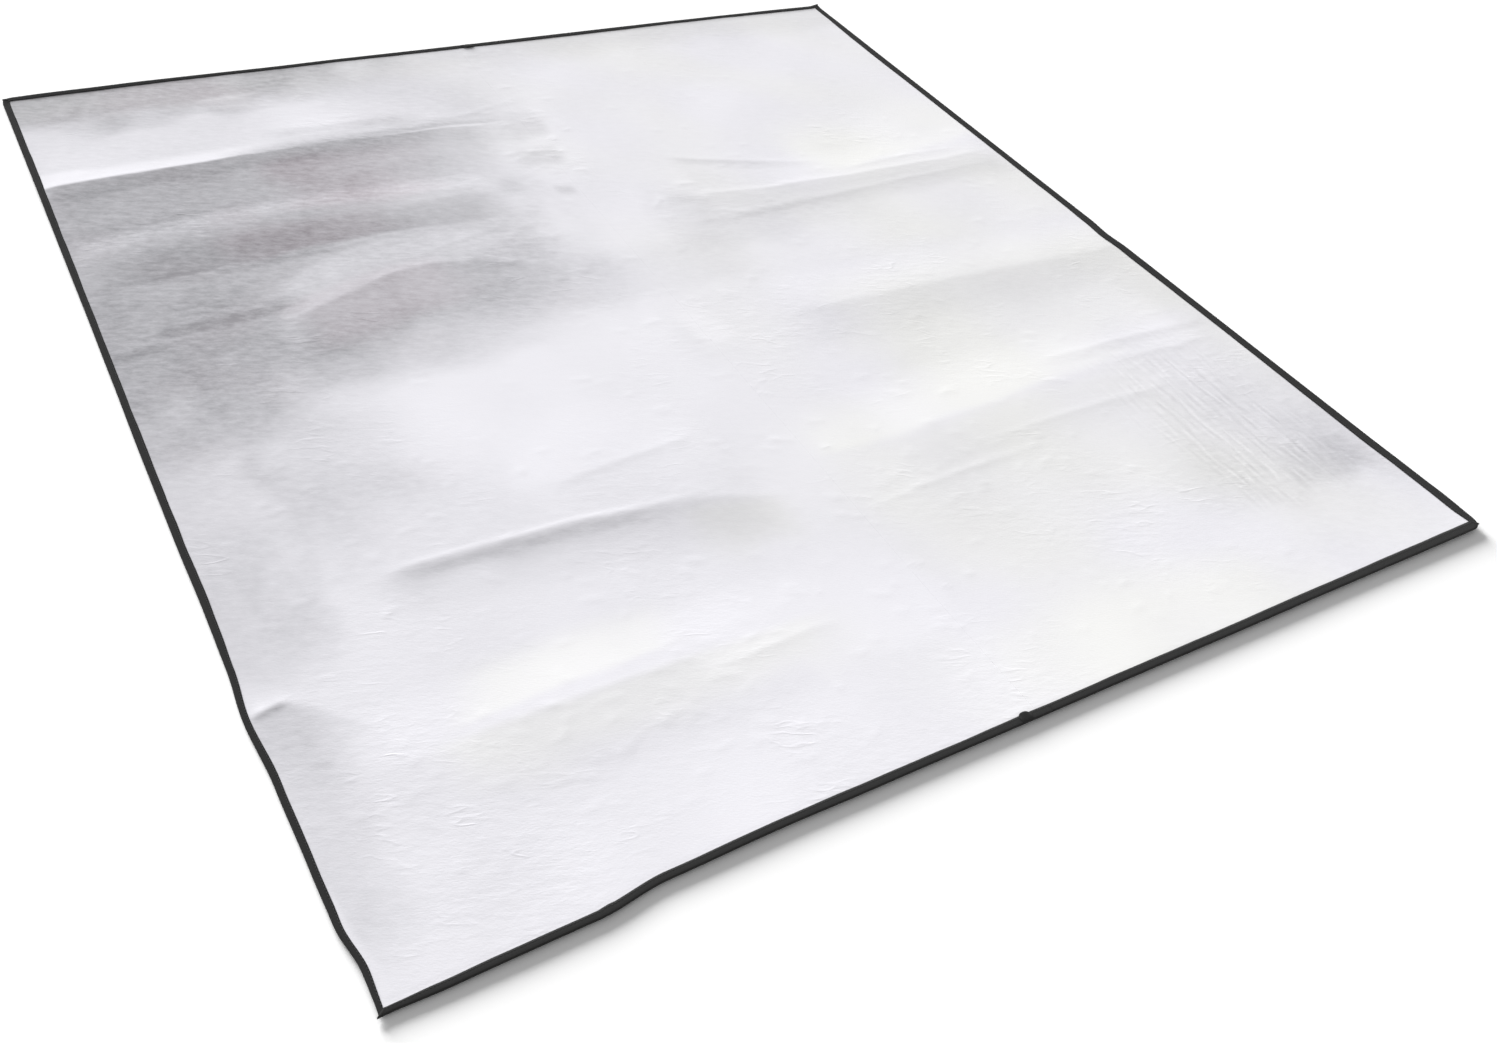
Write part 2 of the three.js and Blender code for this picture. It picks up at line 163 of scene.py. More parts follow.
# Painted shade and painted highlights on the film beyond its clean 0, and where it is warmer or pinker in
# colour, as shares. A positive shade share paints shade where the folds' slopes and creases face away from the
# low lamp;
# a negative one paints a lighter streak, a painted highlight. A row gives a band: the line where it begins, from
# start to end with its bow as for a crease, how far it reaches ahead of that, how softly it begins and fades
# across, how softly it begins and ends along the line, and its shares. Metres.
TONES = [
    ((-1.02, 0.714), (-0.02, 0.722), 0.016, 0.58, (0.005, 0.20), (0.01, 0.26), dict(dull_and_shade=0.37)),
    ((-1.02, 0.714), (-0.06, 0.722), 0.016, 0.032, (0.005, 0.05), (0.06, 0.42), dict(dull_and_shade=0.28)),
    ((-0.58, 0.818), (-0.20, 0.812), 0.0, 0.020, (0.016, 0.04), (0.10, 0.12), dict(dull_and_shade=0.19)),
    ((-0.70, 0.768), (-0.06, 0.774), 0.0, 0.034, (0.016, 0.008), (0.22, 0.16), dict(dull_and_shade=0.30)),
    ((-0.72, 0.752), (-0.05, 0.752), 0.0, 0.014, (0.014, 0.008), (0.14, 0.06), dict(dull_and_shade=0.26)),
    ((-1.02, 0.670), (-0.30, 0.700), 0.0, 0.28, (0.040, 0.20), (0.01, 0.30), dict(dull_and_shade=0.22)),
    ((-0.99, 0.424), (-0.16, 0.450), 0.024, 0.076, (0.020, 0.012), (0.14, 0.44), dict(dull_and_shade=0.14)),
    ((-0.71, 0.166), (-0.46, 0.250), -0.004, 0.10, (0.008, 0.08), (0.02, 0.06), dict(dull_and_shade=0.08)),
    ((-0.54, 0.224), (-0.22, 0.170), 0.050, 0.10, (0.010, 0.08), (0.06, 0.12), dict(dull_and_shade=0.07)),
    ((-0.38, 0.262), (-0.10, 0.290), 0.0, 0.06, (0.020, 0.04), (0.08, 0.08), dict(dull_and_shade=0.08)),
    ((-0.74, 0.238), (-0.62, 0.246), 0.0, 0.030, (0.016, 0.04), (0.05, 0.05), dict(dull_and_shade=0.19)),
    ((-1.02, 0.340), (-0.64, 0.300), 0.0, 0.34, (0.060, 0.16), (0.01, 0.16), dict(dull_and_shade=0.29)),
    ((-1.02, 0.060), (-0.62, 0.100), 0.0, 0.14, (0.060, 0.12), (0.01, 0.26), dict(dull_and_shade=0.19)),
    ((-0.92, 0.212), (-0.70, 0.216), 0.004, 0.012, (0.006, 0.03), (0.06, 0.06), dict(dull_and_shade=0.16)),
    ((-1.02, 0.170), (-0.86, 0.178), 0.0, 0.012, (0.006, 0.03), (0.02, 0.06), dict(dull_and_shade=0.12)),
    ((-1.02, -0.060), (-0.81, -0.060), 0.0, 0.50, (0.060, 0.10), (0.01, 0.14), dict(dull_and_shade=0.27)),
    ((-0.90, -0.090), (-0.56, -0.090), 0.0, 0.20, (0.050, 0.14), (0.06, 0.18), dict(dull_and_shade=0.19)),
    ((-1.02, -0.655), (-0.90, -0.645), 0.0, 0.32, (0.006, 0.10), (0.01, 0.08), dict(dull_and_shade=0.18)),
    ((-0.975, -0.624), (-0.820, -0.770), 0.0, 0.06, (0.006, 0.10), (0.02, 0.10), dict(dull_and_shade=0.14)),
    ((-1.01, -0.658), (-0.948, -0.643), 0.002, 0.003, (0.004, 0.012), (0.02, 0.02), dict(dull_and_shade=0.30)),
    ((-1.02, 1.110), (0.04, 1.110), 0.0, 0.11, (0.010, 0.11), (0.01, 0.70), dict(dull_and_shade=0.47)),
    ((-0.94, 1.035), (-0.70, 1.045), 0.004, 0.008, (0.008, 0.02), (0.08, 0.08), dict(dull_and_shade=-0.05)),
    ((-0.66, 0.992), (-0.50, 0.998), 0.003, 0.006, (0.008, 0.02), (0.05, 0.06), dict(dull_and_shade=-0.25)),
    ((-0.98, 0.985), (-0.84, 0.990), 0.002, 0.006, (0.008, 0.03), (0.05, 0.06), dict(dull_and_shade=0.12)),
    ((-1.02, 0.930), (-0.40, 0.940), 0.0, 0.15, (0.060, 0.03), (0.01, 0.20), dict(dull_and_shade=0.19)),
    ((-0.50, 1.110), (0.80, 1.110), 0.0, 0.05, (0.010, 0.06), (0.40, 0.30), dict(dull_and_shade=0.06)),
    ((-0.50, 0.960), (0.06, 0.960), 0.0, 0.18, (0.060, 0.03), (0.24, 0.20), dict(dull_and_shade=0.20)),
    ((-0.86, 0.965), (-0.68, 0.960), 0.0, 0.050, (0.020, 0.03), (0.04, 0.08), dict(dull_and_shade=0.20)),
    ((-0.75, -0.478), (-0.18, -0.508), 0.002, 0.012, (0.004, 0.05), (0.04, 0.20), dict(dull_and_shade=0.14)),
    ((-0.74, -0.466), (-0.24, -0.492), 0.002, 0.002, (0.005, 0.006), (0.05, 0.14), dict(dull_and_shade=-0.10)),
    ((-0.74, -0.487), (-0.26, -0.508), 0.001, 0.011, (0.004, 0.016), (0.06, 0.20), dict(dull_and_shade=0.18)),
    ((-0.46, -0.399), (-0.16, -0.366), 0.004, 0.004, (0.006, 0.03), (0.10, 0.06), dict(dull_and_shade=0.07)),
    ((-0.94, 0.120), (-0.16, 0.130), 0.0, 0.14, (0.060, 0.08), (0.14, 0.36), dict(dull_and_shade=0.24)),
    ((-0.90, -0.200), (-0.40, -0.300), 0.0, 0.20, (0.080, 0.10), (0.10, 0.20), dict(dull_and_shade=0.09)),
    ((-1.02, 0.550), (-0.50, 0.575), 0.014, 0.06, (0.025, 0.03), (0.01, 0.34), dict(dull_and_shade=0.11)),
    ((-0.60, -0.385), (-0.10, -0.385), 0.0, 0.16, (0.020, 0.12), (0.16, 0.12), dict(dull_and_shade=0.06)),
    ((-0.32, -0.520), (-0.08, -0.560), 0.0, 0.05, (0.020, 0.10), (0.08, 0.08), dict(dull_and_shade=0.06, warm=0.5)),
    ((-0.80, -0.800), (-0.36, -0.800), 0.0, 0.07, (0.010, 0.10), (0.08, 0.10), dict(dull_and_shade=0.04)),
    ((0.10, 0.310), (1.02, 0.270), -0.02, 0.05, (0.010, 0.06), (0.10, 0.01), dict(dull_and_shade=0.07)),
    ((0.10, 0.225), (0.62, 0.240), 0.0, 0.06, (0.008, 0.10), (0.10, 0.20), dict(dull_and_shade=0.13)),
    ((0.20, 0.484), (0.54, 0.358), -0.006, 0.006, (0.006, 0.03), (0.06, 0.16), dict(dull_and_shade=0.16)),
    ((0.06, -0.120), (1.02, -0.150), 0.006, 0.05, (0.014, 0.11), (0.18, 0.01), dict(dull_and_shade=0.07)),
    ((0.58, -0.600), (1.02, -0.600), 0.0, 0.26, (0.060, 0.16), (0.20, 0.01), dict(dull_and_shade=0.15)),
    ((0.82, -0.720), (1.02, -0.740), 0.0, 0.14, (0.040, 0.09), (0.09, 0.04), dict(dull_and_shade=0.13)),
    ((0.74, -0.795), (0.98, -0.805), 0.0, 0.07, (0.040, 0.06), (0.08, 0.06), dict(dull_and_shade=0.17)),
    ((0.50, -0.720), (0.80, -0.740), 0.0, 0.14, (0.080, 0.08), (0.14, 0.14), dict(dull_and_shade=0.12)),
    ((0.16, 0.420), (0.48, 0.390), 0.0, 0.06, (0.060, 0.08), (0.12, 0.12), dict(dull_and_shade=0.12)),
    ((-1.02, 1.110), (1.02, 1.110), 0.0, 0.08, (0.010, 0.10), (0.01, 0.01), dict(dull_and_shade=0.13, warm=0.3)),
    ((-0.86, 1.110), (-0.50, 1.110), 0.0, 0.10, (0.010, 0.08), (0.10, 0.10), dict(pink=0.6)),
    ((-0.63, 0.700), (-0.22, 0.690), 0.0, 0.18, (0.040, 0.04), (0.10, 0.14), dict(dull_and_shade=0.10, pink=1.0)),
    ((-0.78, 0.450), (-0.36, 0.480), 0.01, 0.08, (0.030, 0.03), (0.10, 0.14), dict(dull_and_shade=0.03, pink=0.8)),
    ((-0.74, 0.190), (-0.34, 0.270), 0.02, 0.12, (0.020, 0.06), (0.10, 0.12), dict(dull_and_shade=0.02, pink=1.0)),
    ((-0.78, -0.705), (-0.38, -0.690), 0.01, 0.07, (0.030, 0.02), (0.10, 0.12), dict(dull_and_shade=-0.09, warm=0.7)),
    ((-0.84, -0.795), (-0.12, -0.800), 0.0, 0.04, (0.012, 0.08), (0.12, 0.18), dict(dull_and_shade=-0.08, warm=0.6)),
    ((-0.06, -0.400), (0.76, -0.360), 0.0, 0.09, (0.060, 0.03), (0.14, 0.24), dict(dull_and_shade=-0.09, warm=0.7)),
    ((0.14, -0.060), (1.02, -0.080), 0.0, 0.26, (0.060, 0.10), (0.20, 0.01), dict(dull_and_shade=0.02, warm=0.5)),
    ((-0.06, -0.500), (0.80, -0.500), 0.0, 0.24, (0.030, 0.20), (0.14, 0.30), dict(warm=0.5)),
    ((0.40, 0.470), (1.02, 0.540), 0.0, 0.15, (0.090, 0.04), (0.26, 0.01), dict(dull_and_shade=-0.09, warm=0.6)),
    ((0.24, 0.300), (1.02, 0.300), 0.0, 0.24, (0.080, 0.10), (0.26, 0.01), dict(warm=0.4)),
    ((-0.20, -0.930), (0.80, -0.970), 0.0, 0.20, (0.060, 0.02), (0.26, 0.44), dict(dull_and_shade=-0.06, warm=0.6)),
    ((-0.74, -0.060), (-0.04, 0.060), 0.0, 0.26, (0.080, 0.12), (0.20, 0.14), dict(dull_and_shade=-0.05)),
    ((-0.12, 0.765), (0.04, 0.755), 0.0, 0.09, (0.030, 0.05), (0.06, 0.05), dict(dull_and_shade=0.19)),
    ((-0.12, 0.600), (0.02, 0.592), 0.0, 0.05, (0.020, 0.04), (0.05, 0.03), dict(dull_and_shade=0.20)),
    ((-0.08, 0.450), (-0.02, 0.438), 0.0, 0.02, (0.012, 0.03), (0.02, 0.02), dict(dull_and_shade=0.20)),
    ((-0.20, 0.500), (-0.12, 0.495), 0.0, 0.04, (0.020, 0.03), (0.03, 0.03), dict(dull_and_shade=0.14)),
    ((-0.88, 0.110), (-0.72, 0.120), 0.0, 0.13, (0.030, 0.05), (0.04, 0.05), dict(dull_and_shade=-0.15)),
    ((-0.73, 0.070), (-0.57, 0.080), 0.0, 0.08, (0.030, 0.05), (0.05, 0.06), dict(dull_and_shade=0.18)),
    ((0.07, 0.400), (0.24, 0.390), 0.0, 0.22, (0.060, 0.08), (0.06, 0.08), dict(dull_and_shade=0.08)),
    ((0.12, 0.345), (0.22, 0.338), 0.0, 0.03, (0.015, 0.02), (0.03, 0.05), dict(dull_and_shade=0.13)),
    ((-0.26, 0.180), (0.24, 0.170), 0.0, 0.12, (0.040, 0.06), (0.10, 0.14), dict(dull_and_shade=0.09)),
    ((-0.21, 0.440), (-0.09, 0.450), 0.0, 0.15, (0.040, 0.04), (0.04, 0.04), dict(dull_and_shade=-0.09)),
    ((-0.06, -0.050), (0.05, -0.040), 0.0, 0.09, (0.030, 0.05), (0.04, 0.05), dict(dull_and_shade=-0.10)),
    ((0.86, -0.280), (1.02, -0.280), 0.0, 0.16, (0.050, 0.05), (0.08, 0.01), dict(dull_and_shade=0.09)),
    ((-0.50, -0.690), (0.02, -0.700), 0.0, 0.18, (0.060, 0.05), (0.16, 0.08), dict(dull_and_shade=-0.06)),
    ((-0.96, -0.410), (-0.82, -0.400), 0.0, 0.16, (0.040, 0.05), (0.04, 0.05), dict(dull_and_shade=0.08)),
    ((-0.90, 0.372), (-0.52, 0.380), 0.0, 0.020, (0.008, 0.02), (0.05, 0.08), dict(dull_and_shade=0.18)),
    ((0.30, -0.980), (1.02, -0.980), 0.0, 0.20, (0.100, 0.02), (0.30, 0.01), dict(dull_and_shade=0.06)),
    ((-1.02, -0.960), (-0.72, -0.960), 0.0, 0.20, (0.060, 0.02), (0.01, 0.12), dict(dull_and_shade=0.05)),
    ((0.20, -0.485), (0.80, -0.475), 0.0, 0.06, (0.012, 0.05), (0.10, 0.10), dict(dull_and_shade=-0.05)),
    ((0.50, -0.425), (0.98, -0.432), 0.0, 0.012, (0.012, 0.02), (0.12, 0.05), dict(dull_and_shade=0.06)),
    ((-0.42, 0.478), (-0.19, 0.476), 0.0, 0.010, (0.010, 0.012), (0.08, 0.04), dict(dull_and_shade=-0.10)),
    ((-0.56, 0.540), (-0.20, 0.536), 0.0, 0.014, (0.014, 0.02), (0.12, 0.06), dict(dull_and_shade=0.08)),
    ((-0.42, 0.690), (-0.18, 0.690), 0.0, 0.05, (0.030, 0.03), (0.08, 0.06), dict(dull_and_shade=-0.07)),
    ((-0.74, 0.962), (-0.50, 0.932), 0.0, 0.010, (0.010, 0.02), (0.06, 0.06), dict(dull_and_shade=0.10)),
]
CLEAN_DULLNESS = 0.11
CLEAN_WARMTH = 0.2
WARM_FROM = (-0.4, 0.3)

# How unevenly the clean film has each tone: the share, the size of a patch in metres and the seed
UNEVEN_TONES = {"dull_and_shade": (0.03, 0.30, 9), "warm": (0.3, 0.35, 10), "pink": (0.2, 0.20, 12)}

# How far lines stray from their course: the distance, the length of a bend, both in metres, and the seed
STRAY_ACROSS = [(0.012, 0.24, 3)]
STRAY_ALONG = [(0.0024, 0.30, 5), (0.00075, 0.08, 6)]

# How far the ends and fading edges of a band are frayed: the share, the size and the seed
FRAY = (0.28, 0.16, 8)

# An uneven surface: how many waves cross in it, how much their lengths differ and the share of each
WAVES = 10
WAVE_LENGTHS = (0.6, 1.6)
WAVE_SHARE = 0.25

# Fine ripples from the roll, which run along the mat near its front right corner, also painted into the film's
# colour as stripes of shade. Metres.
RIPPLE_PITCH = 0.019
RIPPLE_HEIGHT = 0.0003
# The share of painted shade that the ripples lay on the film's colour
RIPPLE_PAINTED_SHADE = 0.11
RIPPLE_STRETCH = (1.0, 0.3, 1.0)
RIPPLE_WANDER = 9.0
RIPPLE_BREAKS = {"From Min": 0.40, "From Max": 0.65}
RIPPLED = ((0.54, -0.520), (0.94, -0.480), 0.0, 0.34, (0.14, 0.12), (0.14, 0.14))

# Where the edges wander from straight lines: pairs of a place along the edge and the shift across it. Metres.
FRONT_SHIFT = [(-1.0, -0.0100), (-0.92, -0.0118), (-0.84, -0.0112), (-0.72, -0.0106), (-0.62, 0.0008),
               (-0.45, 0.0028), (-0.3, 0.0013), (0.05, -0.0005), (0.5, -0.0032), (1.0, -0.0067)]
BACK_SHIFT = [(-1.0, -0.0042), (-0.85, -0.0020), (-0.72, 0.0007), (-0.58, 0.0003), (-0.45, -0.0012),
              (-0.3, 0.0006), (0.0, -0.0006), (0.3, -0.0008), (0.5, -0.0012), (0.66, -0.0028),
              (0.8, -0.0050), (1.0, -0.0095)]
LEFT_SHIFT = [(-1.1, 0.0146), (-1.045, 0.0146), (-0.975, 0.0048), (-0.9, 0.0034), (-0.77, 0.0013),
              (-0.65, -0.0051), (-0.56, -0.0008), (-0.44, -0.0002), (-0.3, -0.0017), (-0.1, -0.0018),
              (0.12, -0.0005), (0.3, 0.0002), (1.1, 0.0005)]
RIGHT_SHIFT = [(-1.1, -0.0058), (-1.0, -0.0031), (-0.9, -0.0008), (-0.75, 0.0008), (-0.17, 0.0012),
               (-0.11, -0.0035), (-0.05, 0.0008), (0.75, 0.0014), (1.1, 0.0030)]
SHIFT_FADE = 0.24

# How high the edges lie, where they don't lie down: the front over a width, the others as a curl at the tape
FRONT_LIFT = [(-1.0, 0.0032), (-0.78, 0.0044), (-0.64, 0.0042), (-0.46, 0.0052), (0.0, 0.0056),
              (0.6, 0.0068), (1.0, 0.0076)]
BACK_CURL = [(-1.0, 0.0015), (-0.92, 0.0025), (-0.45, 0.0017), (-0.1, 0.0010), (0.3, 0.0014), (1.0, 0.0018)]
RIGHT_CURL = [(-1.1, 0.0), (-1.0, 0.003), (0.9, 0.003), (1.1, 0.0025)]
LIFT_FADE = 0.36
CURL_FADE = 0.025

# How wide the tape is over the face along each side, as a share of its reach, and how unevenly it was fed
TAPE_WIDTHS = {
    "front": [(-0.985, 0.60), (-0.93, 0.80), (-0.85, 0.80), (-0.712, 0.86), (-0.705, 1.05), (-0.698, 0.88),
              (-0.6, 0.86), (-0.45, 0.92), (-0.35, 1.02), (-0.2, 0.95), (0.0, 1.03), (0.3, 1.05),
              (0.6, 1.17), (0.985, 1.33)],
    "right": [(-1.085, 1.35), (-1.05, 1.6), (-0.98, 1.5), (-0.75, 1.55), (-0.6, 1.44), (-0.3, 1.5),
              (-0.15, 1.55), (0.1, 1.4), (0.3, 1.35), (0.85, 1.37), (1.085, 1.15)],
    "back": [(-0.985, 1.1), (-0.9, 1.15), (-0.45, 0.95), (-0.3, 0.95), (-0.15, 1.1), (0.3, 1.2), (0.6, 1.0),
             (0.75, 1.0), (0.9, 1.1), (0.985, 1.0)],
    "left": [(-1.085, 0.55), (-1.04, 0.62), (-0.96, 0.68), (-0.86, 0.74), (-0.76, 0.74), (-0.66, 0.69),
             (-0.40, 0.90), (-0.10, 0.93), (0.12, 0.87), (0.33, 0.88), (0.55, 0.93), (0.8, 1.02),
             (1.085, 1.0)],
}
# How far the folded tape stands out beyond the front's cut edge, as a share of its reach in the solids
FRONT_BULGE = [(-0.6, 1.0), (0.5, 2.2)]
TAPE_UNEVEN = 0.03
TAPE_UNEVEN_LENGTH = 0.10

# How much of a corner's square is worn round: 0 is square and 1 a quarter circle, and less than 0 a drawn out
# tip
CORNER_ROUNDING = {(-1, -1): -0.15, (1, -1): 1.0, (-1, 1): 0.7, (1, 1): -0.2}
CORNER_SIZE = 0.020

# Sewing: the line of stitches along the tape and how it pinches the foam
STITCH_INSET = 0.0092
STITCH_PITCH = 0.0046
STITCH_LENGTH = 0.0034
THREAD = 0.0005
THREAD_SPREAD = 1.2
PINCH = 0.16
PINCH_WIDTH = 0.0035


def smoothstep(value, low, high):
    share = np.clip((value - low) / (high - low), 0, 1)
    return share * share * (3 - 2 * share)


def eased(value, points):
    """Runs smoothly through pairs of place and amount."""
    places, amounts = zip(*points)
    index = np.clip(np.searchsorted(places, value) - 1, 0, len(places) - 2)
    places, amounts = np.array(places), np.array(amounts)
    share = smoothstep(value, places[index], places[index + 1])
    return amounts[index] + (amounts[index + 1] - amounts[index]) * share


def bezier(along, near, pull, far):
    return (1 - along) ** 2 * near + 2 * along * (1 - along) * pull + along ** 2 * far


def slope_height(away, edge):
    """The height of a fold's slope, 1 at the crest and 0 at the ground."""
    away = np.minimum(away, 1)
    to_crest = np.maximum(edge, 0) * (1 - away) ** 2
    to_ground = np.maximum(-edge, 0) * (1 - away ** 2)
    return (1 - np.abs(edge)) * (1 + np.cos(np.pi * away)) / 2 + to_crest + to_ground


def fold_lift(x, y, side, across, crest, rise, behind, ahead, edge):
    start, end = (share * HALF_WIDTH for share in across)
    reach = x * side
    strength = smoothstep(reach, start, start + FOLD_FADE) * smoothstep(end - reach, 0, SIDE_FADE)
    along = np.clip((reach - start) / (end - start), 0, 1)
    beyond = y - bezier(along, *(share * HALF_LENGTH for share in crest))
    slope = np.where(beyond > 0, behind, ahead)
    return rise * strength * slope_height(np.abs(beyond) / slope, np.where(beyond > 0, *edge))


def uneven(x, y, size, seed):
    """A smooth uneven surface of about -1 to 1, made of crossing waves about a size long."""
    chance = np.random.default_rng(seed)
    total = np.zeros(len(x))
    for _ in range(WAVES):
        turn, phase = chance.uniform(0, 2 * math.pi, 2)
        rate = 2 * math.pi / (size * chance.uniform(*WAVE_LENGTHS))
        total += np.sin(rate * (x * math.cos(turn) + y * math.sin(turn)) + phase)
    return total * WAVE_SHARE


def bends(x, y, rows):
    return sum(distance * uneven(x, y, length, seed) for distance, length, seed in rows)


def strayed(x, y):
    """Moves places a little, so that what is drawn on them runs unevenly."""
    return x + bends(x, y, STRAY_ACROSS), y + bends(x, y, STRAY_ALONG)


def along_line(x, y, start, end, bow):
    """How far along a bowed line a point is, from 0 to 1, how far it lies behind it, and the line's length."""
    (x0, y0), (x1, y1) = start, end
    length = math.hypot(x1 - x0, y1 - y0)
    ux, uy = (x1 - x0) / length, (y1 - y0) / length
    along = np.clip(((x - x0) * ux + (y - y0) * uy) / length, 0, 1)
    return along, (y - y0) * ux - (x - x0) * uy - 4 * bow * along * (1 - along), length


def crease_lift(x, y, start, end, bow, height, behind, ahead):
    """A ridge that falls away fast on both sides of a bowed line and dies out towards its ends."""
    along, off, _ = along_line(x, y, start, end, bow)
    spread = np.where(off > 0, behind, ahead)
    return height * np.sqrt(np.sin(np.pi * along)) * np.exp(-np.abs(off) / spread)


def short_wrinkles():
    """The wrinkles of all patches, spread by chance, which the seed keeps the same."""
    chance = np.random.default_rng(WRINKLE_SEED)
    wrinkles = []
    for patch in WRINKLED:
        for _ in range(patch["count"]):
            middle = np.array(patch["middle"]) + chance.uniform(-1, 1, 2) * patch["half"]
            turn = chance.normal(*WRINKLE_TURN)
            half_run = chance.uniform(*WRINKLE_LENGTH) / 2 * np.array([math.cos(turn), math.sin(turn)])
            behind, ahead = chance.uniform(*WRINKLE_SPREAD, 2)
            wrinkles.append(dict(
                start=middle - half_run, end=middle + half_run, bow=chance.normal(0, WRINKLE_BOW),
                height=patch["height"] * chance.uniform(*WRINKLE_SHARES), behind=behind, ahead=ahead))
    return wrinkles


def wrinkle_height(x, y):
    """The height of the short wrinkles, each worked out only near it."""
    height = np.zeros(len(x))
    for wrinkle in short_wrinkles():
        (x0, y0), (x1, y1) = wrinkle["start"], wrinkle["end"]
        margin = WRINKLE_MARGIN * max(wrinkle["behind"], wrinkle["ahead"])
        near = np.flatnonzero((np.abs(x - (x0 + x1) / 2) < abs(x1 - x0) / 2 + margin)
                              & (np.abs(y - (y0 + y1) / 2) < abs(y1 - y0) / 2 + margin))
        height[near] += crease_lift(x[near], y[near], **wrinkle)
    return height


def band(x, y, start, end, bow, reach, soft, ends):
    """1 in a band that reaches ahead of a bowed line, and 0 away from it."""
    along, off, length = along_line(x, y, start, end, bow)
    share, size, seed = FRAY
    frayed = 1 + share * np.clip(uneven(x, y, size, seed), -1, 1)
    across = smoothstep(-off, -soft[0], soft[0]) * (1 - smoothstep(-off, reach, reach + soft[1] * frayed))
    begun = smoothstep(along * length, 0, ends[0] * frayed)
    ended = smoothstep((1 - along) * length, 0, ends[1] * frayed)
    return across * begun * ended


def film_tones(x, y):
    """How much painted shade and highlight, random dullness, warmth, pinkness and ripple the film has at points
    of the flat sheet.
    """
    x, y = strayed(x, y)
    patchy = {kind: share * uneven(x, y, size, seed) for kind, (share, size, seed) in UNEVEN_TONES.items()}
    amounts = {
        "dull_and_shade": CLEAN_DULLNESS + patchy["dull_and_shade"],
        "warm": (CLEAN_WARMTH + patchy["warm"]) * smoothstep(x, *WARM_FROM),
        "pink": patchy["pink"],
    }
    for *place, shares in TONES:
        strength = band(x, y, *place)
        for kind, share in shares.items():
            amounts[kind] += share * strength
    amounts["rippled"] = band(x, y, *RIPPLED)
    return {kind: np.clip(amount, 0, 1) for kind, amount in amounts.items()}


def big_lift(x, y):
    """The height of the folds and of the edge that doesn't lie down, for every layer."""
    freed = smoothstep(np.abs(x), SEAM_HELD_FLAT, SEAM_HELD_FLAT + FOLD_FADE)
    place = strayed(x, y)
    folds = sum(fold_lift(*place, *fold) for fold in FOLDS)
    front = eased(x, FRONT_LIFT) * np.clip(1 - (y + HALF_LENGTH) / LIFT_FADE, 0, 1) ** 2
    back = eased(x, BACK_CURL) * (1 - smoothstep(HALF_LENGTH - y, 0, CURL_FADE))
    right = eased(y, RIGHT_CURL) * (1 - smoothstep(HALF_WIDTH - x, 0, CURL_FADE))
    return freed * folds + front + back + right


def crease_height(x, y):
    """The height of the creases and wrinkles, which die out before the tape."""
    inset = np.minimum(HALF_WIDTH - np.abs(x), HALF_LENGTH - np.abs(y))
    place = strayed(x, y)
    height = sum(crease_lift(*place, *crease) for crease in CREASES) + wrinkle_height(x, y)
    return smoothstep(inset, TAPE_REACH, 2 * TAPE_REACH) * height


def round_corners(x, y):
    """Draws the sheet in at worn corners and out at drawn tips."""
    for (side_x, side_y), rounding in CORNER_ROUNDING.items():
        from_x = x * side_x - (HALF_WIDTH - CORNER_SIZE)
        from_y = y * side_y - (HALF_LENGTH - CORNER_SIZE)
        inside = (from_x > 0) & (from_y > 0)
        flat = np.maximum(np.maximum(from_x, from_y), 1e-9) / np.maximum(np.hypot(from_x, from_y), 1e-9)
        drawn = np.where(inside, 1 - rounding * (1 - flat), 1)
        x = np.where(inside, side_x * (HALF_WIDTH - CORNER_SIZE + from_x * drawn), x)
        y = np.where(inside, side_y * (HALF_LENGTH - CORNER_SIZE + from_y * drawn), y)
    return x, y


def wander(x, y):
    """Shifts the sheet in plan, so that its edges run as they lie."""
    from_left = 1 - smoothstep(x + HALF_WIDTH, 0, SHIFT_FADE)
    from_right = 1 - smoothstep(HALF_WIDTH - x, 0, SHIFT_FADE)
    from_front = 1 - smoothstep(y + HALF_LENGTH, 0, SHIFT_FADE)
    from_back = 1 - smoothstep(HALF_LENGTH - y, 0, SHIFT_FADE)
    across = from_left * eased(y, LEFT_SHIFT) + from_right * eased(y, RIGHT_SHIFT)
    along = from_front * eased(x, FRONT_SHIFT) + from_back * eased(x, BACK_SHIFT)
    return x + across, y + along


def laid(points, creased=0):
    """Lays points of the flat sheet on the ground, with a share of the sharp creases' height."""
    x, y, z = points.T
    inset = np.minimum(HALF_WIDTH - np.abs(x), HALF_LENGTH - np.abs(y))
    pinched = 1 - PINCH * np.exp(-((inset - STITCH_INSET) / PINCH_WIDTH) ** 2)
    lift = big_lift(x, y) + FOAM_MIDDLE + (z - FOAM_MIDDLE) * pinched
    if creased:
        lift = lift + creased * crease_height(x, y)
    new_x, new_y = wander(*round_corners(x, y))
    return np.column_stack([new_x, new_y, lift])


def coordinates(mesh):
    points = np.empty(len(mesh.vertices) * 3)
    mesh.vertices.foreach_get("co", points)
    return points.reshape(-1, 3)


def place_vertices(mesh, points):
    mesh.vertices.foreach_set("co", np.asarray(points, np.float32).ravel())
    mesh.update()


def keep_flat_map(mesh):
    """Keeps each point's place on the flat sheet, in metres, as the UV map that the finishes read."""
    layer = mesh.uv_layers.new(name="flat_sheet")
    corners = np.empty(len(mesh.loops), np.int32)
    mesh.loops.foreach_get("vertex_index", corners)
    layer.uv.foreach_set("vector", coordinates(mesh)[corners, :2].astype(np.float32).ravel())


def keep_tones(mesh):
    """Keeps the film's tones, its painted shade and highlights among them, at each point of the flat sheet, for
    its finish.
    """
    x, y, _ = coordinates(mesh).T
    for name, amounts in film_tones(x, y).items():
        mesh.attributes.new(name, "FLOAT", "POINT").data.foreach_set("value", amounts.astype(np.float32))


